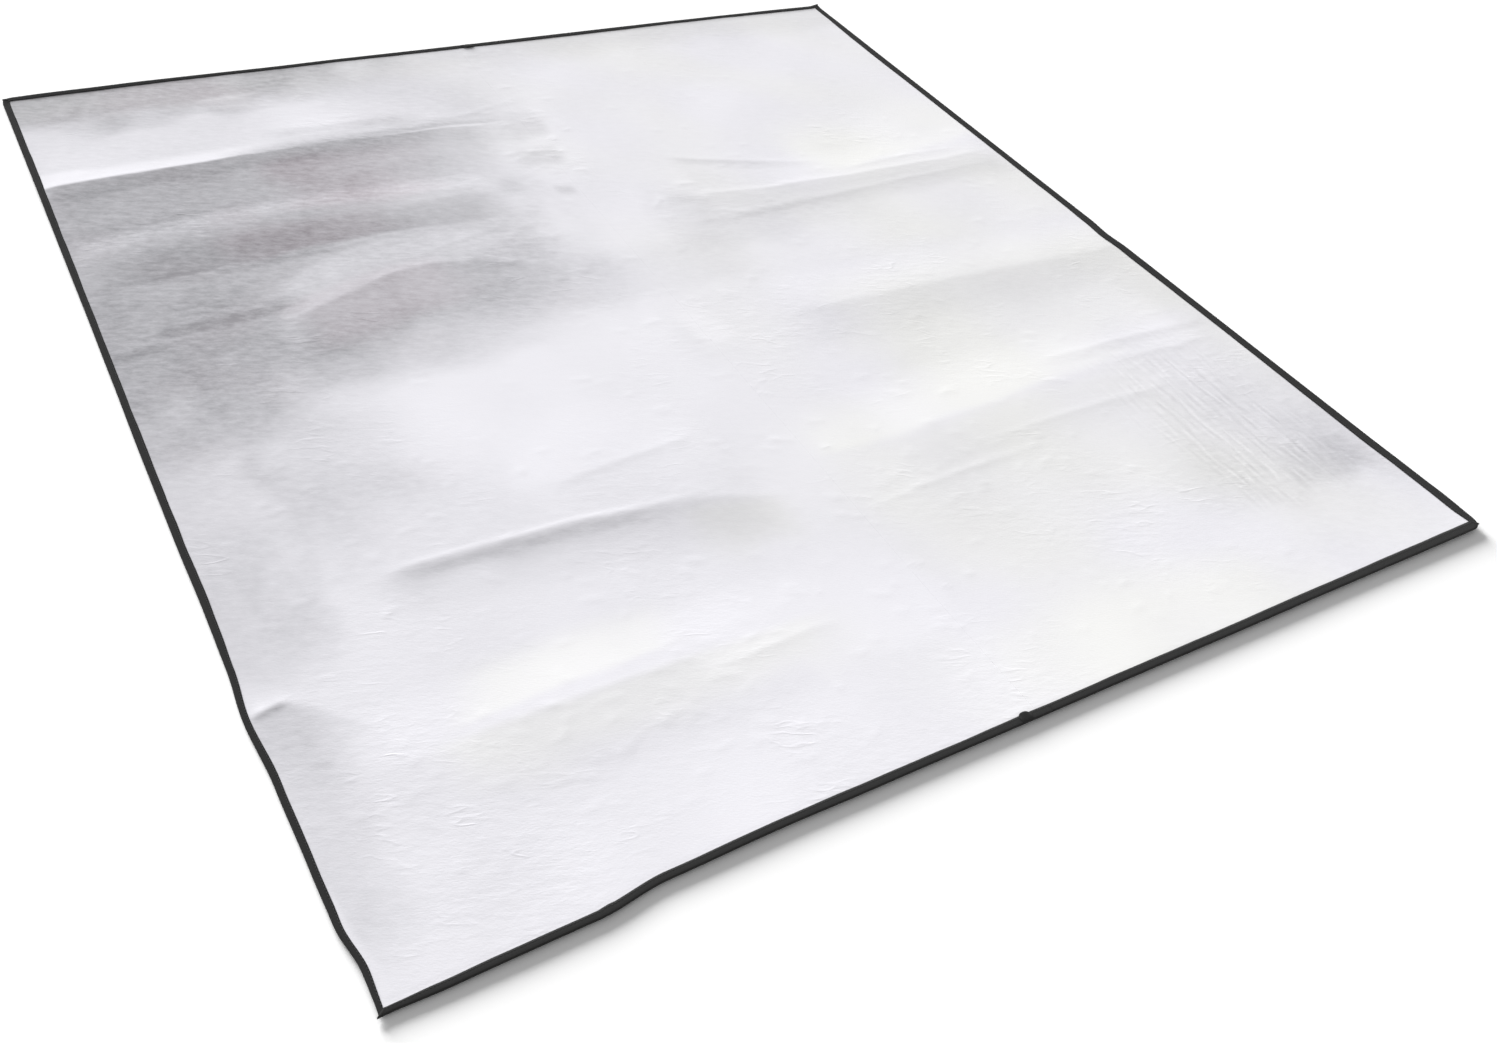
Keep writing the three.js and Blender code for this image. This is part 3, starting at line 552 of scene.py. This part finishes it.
def new_piece(name, bm, material, smooth=True):
    mesh = bpy.data.meshes.new(name)
    bm.to_mesh(mesh)
    bm.free()
    mesh.materials.append(material)
    mesh.polygons.foreach_set("use_smooth", np.full(len(mesh.polygons), smooth))
    piece = bpy.data.objects.new(name, mesh)
    bpy.context.scene.collection.objects.link(piece)
    return piece


def across_fold(piece):
    """Bakes the piece's placement into its mesh."""
    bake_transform(piece)


def flat_grid(x_range, y_range, cell, height):
    """A flat rectangle of square cells at a height."""
    (x0, x1), (y0, y1) = x_range, y_range
    middle = Matrix.Translation(((x0 + x1) / 2, (y0 + y1) / 2, height))
    place = middle @ Matrix.Diagonal((x1 - x0, y1 - y0, 1, 1))
    columns = math.ceil((x1 - x0) / cell)
    rows = math.ceil((y1 - y0) / cell)
    bm = bmesh.new()
    bmesh.ops.create_grid(bm, x_segments=columns, y_segments=rows, size=0.5, matrix=place)
    return bm


def width_of(side):
    """Where a width of the mat lies across it, from its lower X to its higher X."""
    return (SEAM_HALF_GAP, HALF_WIDTH) if side > 0 else (-HALF_WIDTH, -SEAM_HALF_GAP)


def camera():
    data = bpy.data.cameras.new("camera")
    data.sensor_width = SENSOR
    data.lens = LENS
    cam = bpy.data.objects.new("camera", data)
    turn = Matrix.Rotation(math.radians(-CAMERA_AZIMUTH), 4, "Z")
    tilt = Matrix.Rotation(math.radians(90 - CAMERA_ELEVATION), 4, "X")
    roll = Matrix.Rotation(math.radians(CAMERA_ROLL), 4, "Z")
    cam.matrix_world = Matrix.Translation(CAMERA_PLACE) @ turn @ tilt @ roll
    bpy.context.scene.collection.objects.link(cam)
    bpy.context.scene.camera = cam


def raised(bm, rise):
    """Raises a second face over a flat grid and closes the sides between them."""
    made = bmesh.ops.extrude_face_region(bm, geom=bm.faces[:])
    lifted = [part for part in made["geom"] if isinstance(part, bmesh.types.BMVert)]
    bmesh.ops.translate(bm, verts=lifted, vec=(0, 0, rise))
    bmesh.ops.recalc_face_normals(bm, faces=bm.faces)
    return bm


def lay(piece, toned=False, creased=0):
    """Keeps what the finish reads of a flat piece, lays it on the ground and bakes its placement into its mesh.
    """
    keep_flat_map(piece.data)
    if toned:
        keep_tones(piece.data)
    place_vertices(piece.data, laid(coordinates(piece.data), creased))
    across_fold(piece)


def films(material):
    for side, name in WIDTHS.items():
        over = flat_grid(width_of(side), WHOLE_LENGTH, FILM_CELL, FILM_TOP)
        top = new_piece(f"{name}_foil_face", over, material)
        lay(top, toned=True, creased=1)
        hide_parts(f"{name}_top_film")
        under = flat_grid(width_of(side), WHOLE_LENGTH, FOAM_CELL, FILM_BOTTOM)
        bmesh.ops.reverse_faces(under, faces=under.faces)
        base = new_piece(f"{name}_foil_back", under, material)
        lay(base)
        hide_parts(f"{name}_base_film")


def foam_cores(material):
    for side, name in WIDTHS.items():
        bm = flat_grid(width_of(side), WHOLE_LENGTH, FOAM_CELL, FILM_BOTTOM + FOAM_CLEARANCE)
        raised(bm, FILM_TOP - FILM_BOTTOM - 2 * FOAM_CLEARANCE)
        core = new_piece(f"{name}_foam", bm, material)
        lay(core)
        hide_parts(f"{name}_foam_core")


def seam_tapes(material):
    for name, low, high, node in [
        ("seam_tape_face", FILM_TOP, SEAM_TAPE_TOP, "seam_tape_top"),
        ("seam_tape_back", SEAM_TAPE_BOTTOM, FILM_BOTTOM, "seam_tape_base"),
    ]:
        bm = flat_grid((-SEAM_TAPE_HALF, SEAM_TAPE_HALF), WHOLE_LENGTH, SEAM_TAPE_HALF / 4, low)
        tape = new_piece(name, raised(bm, high - low), material, smooth=False)
        lay(tape, toned=True, creased=1 if node == "seam_tape_top" else 0)
        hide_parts(node)


# The sides of the mat, walked with the mat on the left hand
SIDES = {
    "front": dict(middle=(0, -HALF_LENGTH), along=(1, 0), half=HALF_WIDTH),
    "right": dict(middle=(HALF_WIDTH, 0), along=(0, 1), half=HALF_LENGTH),
    "back": dict(middle=(0, HALF_LENGTH), along=(-1, 0), half=HALF_WIDTH),
    "left": dict(middle=(-HALF_WIDTH, 0), along=(0, -1), half=HALF_LENGTH),
}
TAPE_THICKNESS = 0.0005
TAPE_CORNER = 0.0016
TAPE_TOP = FOAM_MIDDLE * 2
CORNER_STEPS = 4
FAN_STEPS = 5
OVERLAP_TURN = math.radians(50)
OVERLAP_FROM = 0.4
OVERLAP_RISE = 0.25

# The laps: the tape's ends turned under and sewn over the binding. Insets and heights of the strip, from
# below the edge, round it and in over the face. Metres.
FRONT_LAP = dict(centre=-0.044, length=0.021, section=[
    (0.002, 0.0006), (-0.0013, 0.0012), (-0.0014, 0.0038), (0.001, 0.0052), (0.006, 0.0064),
    (0.011, 0.0074), (0.0142, 0.0072), (0.0160, 0.0060), (0.0158, 0.0044), (0.0134, 0.0042)])
BACK_LAP = dict(centre=-0.006, length=0.032, section=[
    (0.002, 0.0006), (-0.0013, 0.0012), (-0.0014, 0.0038), (0.001, 0.0052), (0.006, 0.0066),
    (0.011, 0.0078), (0.0152, 0.0076), (0.0172, 0.0058), (0.0168, 0.0044), (0.0134, 0.0042)])
LAP_THICKNESS = 0.0006
LAP_SEAT = (0.009, 0.0048)
LAP_END = 0.25
LAP_STATIONS = 7


def tape_section():
    """The folded tape's outer line, from its lower edge round the cut edge to its upper edge, as insets
    and heights."""
    corners = [(TAPE_CORNER, 1.5 * math.pi), (TAPE_TOP - TAPE_CORNER, math.pi)]
    points = [(TAPE_REACH, 0.0), (STITCH_INSET, 0.0), (TAPE_REACH / 2, 0.0)]
    for height, begin in corners:
        for step in range(CORNER_STEPS + 1):
            turn = begin - math.pi / 2 * step / CORNER_STEPS
            inset = TAPE_CORNER - TAPE_OUTSIDE + TAPE_CORNER * math.cos(turn)
            points.append((inset, height + TAPE_CORNER * math.sin(turn)))
    return points + [(TAPE_REACH / 2, TAPE_TOP), (STITCH_INSET, TAPE_TOP), (TAPE_REACH, TAPE_TOP)]


def stations(begin, end, mitre_begin, mitre_end, last_turn):
    """Stops along a side: how far along the tape's inner edge is, and how far the section is turned into
    a mitre."""
    straight_from = begin + TAPE_REACH * mitre_begin
    straight_to = end - TAPE_REACH * mitre_end
    count = math.ceil((straight_to - straight_from) / TAPE_STEP)
    fan = [last_turn * step / FAN_STEPS for step in range(1, FAN_STEPS + 1)]
    stops = [(along, 0.0) for along in np.linspace(straight_from, straight_to, count + 1)]
    if mitre_begin:
        stops = [(straight_from, -turn) for turn in reversed(fan)] + stops
    if mitre_end:
        stops = stops + [(straight_to, turn) for turn in fan]
    return stops


def on_side(side, along, inset, height):
    """Points of the flat sheet from their places along a side, in from it and up."""
    (mx, my), (ax, ay) = SIDES[side]["middle"], SIDES[side]["along"]
    return np.column_stack([mx + ax * along - ay * inset, my + ay * along + ax * inset, height])


def tape_width(side, along):
    """The tape's width over the face at places along a side, as a share of its reach."""
    place = along * sum(SIDES[side]["along"])
    fed = uneven(place, 0 * place, TAPE_UNEVEN_LENGTH, len(side))
    return eased(place, TAPE_WIDTHS[side]) + TAPE_UNEVEN * fed


def strip(name, side, stops, section, thickness, material, body=None, overlapped=False, rounded=False):
    """A tape folded to a section along the stops of a side. It starts as a flat grid of stops by section points.
    Overlapped ends rise over the tape that they cross, and a rounded strip is lower and shorter at its ends."""
    bm = bmesh.new()
    columns, rows = len(stops) - 1, len(section) - 1
    place = Matrix.Translation((columns / 2, rows / 2, 0)) @ Matrix.Diagonal((columns, rows, 1, 1))
    bmesh.ops.create_grid(bm, x_segments=columns, y_segments=rows, size=0.5, matrix=place)
    piece = new_piece(name, bm, material)
    index = np.rint(coordinates(piece.data)[:, :2]).astype(int)
    along, turn = np.array(stops)[index[:, 0]].T
    inset, height = np.array(section)[index[:, 1]].T
    steps = np.linalg.norm(np.diff(section, axis=0), axis=1)
    girth = np.concatenate([[0], np.cumsum(steps)])[index[:, 1]]
    place_vertices(piece.data, np.column_stack([along + (TAPE_REACH - inset) * np.tan(turn), girth, height]))
    keep_flat_map(piece.data)
    if overlapped:
        folded = smoothstep(np.abs(turn), OVERLAP_FROM, math.pi / 4)
        height = height + OVERLAP_RISE * folded * np.maximum(height - FOAM_MIDDLE, 0)
    own_inset = inset
    if rounded:
        middle, half = (stops[-1][0] + stops[0][0]) / 2, (stops[-1][0] - stops[0][0]) / 2
        arch = LAP_END + (1 - LAP_END) * np.sqrt(np.clip(1 - ((along - middle) / half) ** 2, 0, 1))
        seated = inset > LAP_SEAT[0]
        inset = np.where(seated, LAP_SEAT[0] + (inset - LAP_SEAT[0]) * arch, inset)
        height = np.where(seated, LAP_SEAT[1] + (height - LAP_SEAT[1]) * arch, height)
    else:
        bulge = eased(along, FRONT_BULGE) if side == "front" else 1
        inset = inset * np.where(inset < 0, bulge, tape_width(side, along))
    mitre = (TAPE_REACH - np.minimum(inset, own_inset)) * np.tan(turn)
    flat = on_side(side, along + mitre, inset, height)
    place_vertices(piece.data, laid(flat))
    wall = piece.modifiers.new("wall", "SOLIDIFY")
    wall.thickness = thickness
    wall.offset = -1
    if body:
        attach(piece, body)
    else:
        across_fold(piece)
    return piece


def binding(material):
    section = tape_section()
    for side in ("left", "right"):
        half = SIDES[side]["half"]
        stops = stations(-half, half, 1, 1, math.pi / 4)
        tape = strip(f"edge_tape_{side}", side, stops, section, TAPE_THICKNESS, material, body=f"{side}_half")
        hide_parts(f"binding_{side}")
    for side in ("front", "back"):
        half = SIDES[side]["half"]
        toward = SIDES[side]["along"][0]
        for hand, sign in (("left", -toward), ("right", toward)):
            ends = (-half, 0.0, 1, 0) if sign < 0 else (0.0, half, 0, 1)
            stops = stations(*ends, OVERLAP_TURN)
            tape = strip(f"edge_tape_{side}_{hand}", side, stops, section, TAPE_THICKNESS, material,
                         overlapped=True)
            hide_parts(f"binding_{side}_{hand}")


def laps(material):
    for side, lap, body in (("front", FRONT_LAP, "left_half"), ("back", BACK_LAP, None)):
        half = lap["length"] / 2
        stops = [(along, 0.0) for along in np.linspace(-half, half, LAP_STATIONS) + lap["centre"]]
        piece = strip(f"{side}_lap", side, stops, lap["section"], LAP_THICKNESS, material, body=body,
                      rounded=True)
        round_over = piece.modifiers.new("round_over", "SUBSURF")
        round_over.levels = round_over.render_levels = 2
        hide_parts(f"{side}_tape_lap")


def stitches(material):
    """Stitches lie along the tape on both faces, each a short thread that dips in at its ends."""
    for side in SIDES:
        half = SIDES[side]["half"] - STITCH_INSET
        spans = [("", -half, half)]
        if side in ("front", "back"):
            hands = ("_left", "_right") if side == "front" else ("_right", "_left")
            spans = [(hands[0], -half, 0), (hands[1], 0, half)]
        for hand, begin, end in spans:
            count = int((end - begin) / STITCH_PITCH)
            middles = begin + (np.arange(count) + 0.5) * (end - begin) / count
            bm = bmesh.new()
            inset = STITCH_INSET * tape_width(side, middles)
            for height in (0.0, TAPE_TOP):
                heads = laid(on_side(side, middles - STITCH_LENGTH / 2, inset, np.full(count, height)))
                tails = laid(on_side(side, middles + STITCH_LENGTH / 2, inset, np.full(count, height)))
                for head, tail in zip(heads, tails):
                    run = Vector(tail - head)
                    middle = Vector((head + tail) / 2)
                    size = Matrix.Diagonal((THREAD * THREAD_SPREAD, THREAD, run.length / 2, 1))
                    turn = run.to_track_quat("Z", "Y").to_matrix().to_4x4()
                    bmesh.ops.create_icosphere(bm, subdivisions=1, radius=1,
                                               matrix=Matrix.Translation(middle) @ turn @ size)
            piece = new_piece(f"stitching_{side}{hand}", bm, material)
            if hand:
                across_fold(piece)
            else:
                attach(piece, f"{side}_half")


# Finishes

def shader_node(tree, kind, inputs=None, **settings):
    made = tree.nodes.new(kind)
    for key, value in settings.items():
        setattr(made, key, value)
    for key, value in (inputs or {}).items():
        if isinstance(value, bpy.types.NodeSocket):
            tree.links.new(value, made.inputs[key])
        else:
            made.inputs[key].default_value = value
    return made


def calculate(tree, operation, *values):
    return shader_node(tree, "ShaderNodeMath", dict(enumerate(values)), operation=operation).outputs[0]


def product(tree, first, *others):
    for other in others:
        first = calculate(tree, "MULTIPLY", first, other)
    return first


def noise(tree, place, scale, detail=2.0, roughness=0.5):
    return shader_node(tree, "ShaderNodeTexNoise", {
        "Vector": place, "Scale": scale, "Detail": detail, "Roughness": roughness}).outputs["Fac"]


def stretched(tree, place, stretch):
    return shader_node(tree, "ShaderNodeVectorMath", {0: place, 1: stretch}, operation="MULTIPLY").outputs[0]


def in_range(tree, value, limits):
    return shader_node(tree, "ShaderNodeMapRange", {"Value": value, **limits}).outputs["Result"]


def new_material(name, color, roughness, metallic):
    material = bpy.data.materials.new(name)
    material.use_nodes = True
    shader = material.node_tree.nodes["Principled BSDF"]
    shader.inputs["Base Color"].default_value = (*color, 1)
    shader.inputs["Roughness"].default_value = roughness
    shader.inputs["Metallic"].default_value = metallic
    return material, material.node_tree, shader


def give_relief(tree, shader, height):
    """Gives a finish its fine relief, from a height in metres."""
    bump = shader_node(tree, "ShaderNodeBump", {"Strength": 1.0, "Distance": 1.0, "Height": height})
    tree.links.new(bump.outputs["Normal"], shader.inputs["Normal"])


def new_group(name, takes, gives):
    """A node group with named sockets, and the sockets inside it to read from and to link to."""
    group = bpy.data.node_groups.new(name, "ShaderNodeTree")
    for title, kind in takes.items():
        group.interface.new_socket(title, in_out="INPUT", socket_type=kind)
    for title in gives:
        group.interface.new_socket(title, in_out="OUTPUT", socket_type="NodeSocketFloat")
    return group, group.nodes.new("NodeGroupInput").outputs, group.nodes.new("NodeGroupOutput").inputs


# The film's fine surface. Crinkles and lines run across the mat at a turn, stretched, in patches where a
# noise is over its limit. Scales are per metre and heights in metres.
CRINKLE_TURN = 0.35
CRINKLE_STRETCH = (1.0, 2.4, 1.0)
CRINKLE_SCALE = 34.0
CRINKLE_HEIGHT = 0.0006
GRAIN_SCALE = 170.0
GRAIN_HEIGHT = 0.00014
PATCH_SCALE = 3.2
PATCH_LIMIT = 0.42
PATCH_GAIN = 3.0
LINE_STRETCH = (1.0, 3.0, 1.0)
LINE_SCALE = 11.0
LINE_WIDTH = 0.05
LINE_HEIGHT = 0.00032
LINE_BREAK_SCALE = 15.0
LINE_BREAKS = {"From Min": 0.53, "From Max": 0.64}
MOTTLE_SCALE = 38.0
MOTTLE_SHARE = 1.05
RIPPLE_WANDER_SCALE = 24.0
RIPPLE_BREAK_SCALE = 55.0


def crinkle_group():
    """Fine crosswise crinkles and grain of film on foam. The place is on the flat sheet, in metres."""
    group, given, put_out = new_group(
        "film_crinkle", {"Place": "NodeSocketVector", "Depth": "NodeSocketFloat"}, ("Height", "Mottle"))
    place = given["Place"]
    turned = shader_node(group, "ShaderNodeVectorRotate", {"Vector": place, "Angle": CRINKLE_TURN},
                         rotation_type="Z_AXIS").outputs[0]
    crosswise = stretched(group, turned, CRINKLE_STRETCH)
    over = calculate(group, "SUBTRACT", noise(group, place, PATCH_SCALE), PATCH_LIMIT)
    patches = product(group, calculate(group, "SMOOTH_MAX", over, 0.02, 0.1), PATCH_GAIN)
    crinkle = product(group, noise(group, crosswise, CRINKLE_SCALE, 4.0, 0.6), patches, CRINKLE_HEIGHT)
    grain = product(group, noise(group, crosswise, GRAIN_SCALE, 2.0, 0.6), GRAIN_HEIGHT)

    level = noise(group, stretched(group, turned, LINE_STRETCH), LINE_SCALE)
    away = calculate(group, "ABSOLUTE", calculate(group, "SUBTRACT", level, 0.5))
    ridge = calculate(group, "SUBTRACT", 1.0, calculate(group, "DIVIDE", away, LINE_WIDTH))
    ridge = calculate(group, "SMOOTH_MAX", ridge, 0.0, 0.2)
    broken = in_range(group, noise(group, place, LINE_BREAK_SCALE, 1.0), LINE_BREAKS)
    lines = product(group, ridge, broken, patches, LINE_HEIGHT)

    total = calculate(group, "ADD", calculate(group, "ADD", crinkle, grain), lines)
    group.links.new(product(group, total, given["Depth"]), put_out["Height"])
    group.links.new(noise(group, crosswise, MOTTLE_SCALE, 4.0, 0.7), put_out["Mottle"])
    return group


def mixed(tree, factor, first, second):
    """A mix of two colours, which are sockets or numbers."""
    made = shader_node(tree, "ShaderNodeMix", data_type="RGBA")
    sockets = (made.inputs[0], made.inputs[6], made.inputs[7])
    for socket, value in zip(sockets, (factor, first, second)):
        if isinstance(value, bpy.types.NodeSocket):
            tree.links.new(value, socket)
        else:
            socket.default_value = value
    return made.outputs[2]


CLEAN_LILAC = (0.882, 0.873, 0.919, 1)
CLEAN_WARM = (0.892, 0.890, 0.880, 1)
# The dark colours that the film's painted shade and its random dullness darken it towards
SHADE_AND_DULL_GREY = (0.302, 0.300, 0.320, 1)
SHADE_AND_DULL_PINK = (0.330, 0.296, 0.324, 1)
SHADE_AND_DULL_WARM = (0.303, 0.302, 0.298, 1)


def foil(crinkle):
    material, tree, shader = new_material("aluminised_film", (0.85, 0.84, 0.88), roughness=0.45, metallic=0.15)
    place = shader_node(tree, "ShaderNodeUVMap", uv_map="flat_sheet").outputs["UV"]
    tones = {name: shader_node(tree, "ShaderNodeAttribute", attribute_name=name).outputs["Fac"]
             for name in ("dull_and_shade", "warm", "pink", "rippled")}
    worked = shader_node(tree, "ShaderNodeGroup", {}, node_tree=crinkle)
    tree.links.new(place, worked.inputs["Place"])
    worked.inputs["Depth"].default_value = 1.0

    across = shader_node(tree, "ShaderNodeSeparateXYZ", {"Vector": place}).outputs["X"]
    turns = product(tree, across, 2 * math.pi / RIPPLE_PITCH)
    lengthwise = stretched(tree, place, RIPPLE_STRETCH)
    wandering = product(tree, noise(tree, lengthwise, RIPPLE_WANDER_SCALE, 1.0), RIPPLE_WANDER)
    wave = calculate(tree, "SINE", calculate(tree, "ADD", turns, wandering))
    broken = in_range(tree, noise(tree, lengthwise, RIPPLE_BREAK_SCALE, 1.0), RIPPLE_BREAKS)
    ripple = product(tree, wave, tones["rippled"], broken)

    # The film's colour darkens towards grey with its painted shade and random dullness, and is lighter where
    # bands paint highlights
    around = calculate(tree, "SUBTRACT", worked.outputs["Mottle"], 0.5)
    mottle = product(tree, around, tones["dull_and_shade"], MOTTLE_SHARE)
    dull_and_shade = calculate(tree, "ADD", tones["dull_and_shade"], mottle)
    # The ripples add stripes of painted shade to the film's colour
    dull_and_shade = calculate(tree, "ADD", dull_and_shade, product(tree, ripple, RIPPLE_PAINTED_SHADE))
    clean = mixed(tree, tones["warm"], CLEAN_LILAC, CLEAN_WARM)
    dulled_and_shaded = mixed(tree, tones["pink"], mixed(tree, tones["warm"], SHADE_AND_DULL_GREY, SHADE_AND_DULL_WARM), SHADE_AND_DULL_PINK)
    tree.links.new(mixed(tree, dull_and_shade, clean, dulled_and_shaded), shader.inputs["Base Color"])
    height = calculate(tree, "ADD", worked.outputs["Height"], product(tree, ripple, RIPPLE_HEIGHT))
    give_relief(tree, shader, height)
    return material


# The foam's cells, the tape's weave and the thread's fibres. Scales are per metre, the rest is metres.
CELL_SCALE = 900.0
CELL_HEIGHT = 0.0003
WEAVE_PITCH = 0.0012
WEAVE_HEIGHT = 0.00006
WEAVE_TONES = {"From Min": -1.0, "To Min": 0.022, "To Max": 0.036}
TAPE_SPECULAR = 0.15
FIBRE_SCALE = 3000.0
FIBRE_HEIGHT = 0.00004


def foam():
    material, tree, shader = new_material("closed_cell_foam", (0.86, 0.86, 0.85), roughness=0.85, metallic=0.0)
    place = shader_node(tree, "ShaderNodeTexCoord").outputs["Object"]
    cells = shader_node(tree, "ShaderNodeTexVoronoi", {"Vector": place, "Scale": CELL_SCALE})
    give_relief(tree, shader, product(tree, cells.outputs["Distance"], CELL_HEIGHT))
    return material


def weave_group():
    """A plain weave. The place is along and across the tape, in metres."""
    group, given, put_out = new_group(
        "tape_weave", {"Place": "NodeSocketVector", "Pitch": "NodeSocketFloat"}, ("Height",))
    parts = shader_node(group, "ShaderNodeSeparateXYZ", {"Vector": given["Place"]})
    waves = []
    for axis in "XY":
        turns = calculate(group, "DIVIDE", parts.outputs[axis], given["Pitch"])
        waves.append(calculate(group, "SINE", product(group, turns, 2 * math.pi)))
    group.links.new(product(group, *waves), put_out["Height"])
    return group


def tape_material(weave):
    material, tree, shader = new_material(
        "woven_binding_tape", (0.028, 0.028, 0.029), roughness=0.75, metallic=0.0)
    shader.inputs["Specular IOR Level"].default_value = TAPE_SPECULAR
    place = shader_node(tree, "ShaderNodeUVMap", uv_map="flat_sheet").outputs["UV"]
    woven = shader_node(tree, "ShaderNodeGroup", {}, node_tree=weave)
    tree.links.new(place, woven.inputs["Place"])
    woven.inputs["Pitch"].default_value = WEAVE_PITCH
    give_relief(tree, shader, product(tree, woven.outputs["Height"], WEAVE_HEIGHT))
    tree.links.new(in_range(tree, woven.outputs["Height"], WEAVE_TONES), shader.inputs["Base Color"])
    return material


def thread_material():
    material, tree, shader = new_material("black_thread", (0.03, 0.03, 0.031), roughness=0.55, metallic=0.0)
    place = shader_node(tree, "ShaderNodeTexCoord").outputs["Object"]
    fibre = shader_node(tree, "ShaderNodeTexNoise", {"Vector": place, "Scale": FIBRE_SCALE})
    give_relief(tree, shader, product(tree, fibre.outputs["Fac"], FIBRE_HEIGHT))
    return material


# The studio

LAMP_ELEVATION = 11.5
LAMP_AZIMUTH = -3.0
LAMP_SPREAD = 36.0
LAMP_STRENGTH = 10.1
SKY_STRENGTH = 0.35
FLOOR_SIZE = 12.0
FLOOR_TONE = (0.8, 0.8, 0.8, 1)
FLOOR_SEEN = (1.1, 1.1, 1.1, 1)


def background_factor(tree):
    """1 where the camera, a reflection or a refraction sees the surface."""
    path = shader_node(tree, "ShaderNodeLightPath")
    seen = calculate(tree, "MAXIMUM", path.outputs["Is Camera Ray"], path.outputs["Is Glossy Ray"])
    return calculate(tree, "MAXIMUM", seen, path.outputs["Is Transmission Ray"])


def studio():
    world = bpy.data.worlds.new("studio")
    bpy.context.scene.world = world
    world.use_nodes = True
    tree = world.node_tree
    background = tree.nodes["Background"]
    background.inputs["Color"].default_value = (1, 1, 1, 1)
    strength = shader_node(tree, "ShaderNodeMix", {
        "Factor": background_factor(tree), "A": SKY_STRENGTH, "B": 1.0})
    tree.links.new(strength.outputs["Result"], background.inputs["Strength"])

    sun = bpy.data.lights.new("low_lamp", "SUN")
    sun.energy = LAMP_STRENGTH
    sun.angle = math.radians(LAMP_SPREAD)
    lamp = bpy.data.objects.new("low_lamp", sun)
    lamp.visible_glossy = False
    lamp.matrix_world = Matrix.Rotation(math.radians(180 - LAMP_AZIMUTH), 4, "Z") @ Matrix.Rotation(
        math.radians(90 - LAMP_ELEVATION), 4, "X")
    bpy.context.scene.collection.objects.link(lamp)

    bm = bmesh.new()
    bmesh.ops.create_grid(bm, x_segments=1, y_segments=1, size=FLOOR_SIZE)
    mesh = bpy.data.meshes.new("floor")
    bm.to_mesh(mesh)
    bm.free()
    floor = bpy.data.objects.new("floor", mesh)
    bpy.context.scene.collection.objects.link(floor)
    material = bpy.data.materials.new("pale_floor")
    material.use_nodes = True
    tree = material.node_tree
    shader = tree.nodes["Principled BSDF"]
    shader.inputs["Roughness"].default_value = 1.0
    shader.inputs["Specular IOR Level"].default_value = 0.0
    tone = shader_node(tree, "ShaderNodeMix", {"Factor": background_factor(tree)}, data_type="RGBA")
    tone.inputs["A"].default_value = FLOOR_TONE
    tone.inputs["B"].default_value = FLOOR_SEEN
    tree.links.new(tone.outputs["Result"], shader.inputs["Base Color"])
    mesh.materials.append(material)


camera()
studio()
film = foil(crinkle_group())
foam_cores(foam())
films(film)
seam_tapes(film)
tape = tape_material(weave_group())
binding(tape)
laps(tape)
stitches(thread_material())
bpy.context.scene.view_settings.view_transform = "Standard"
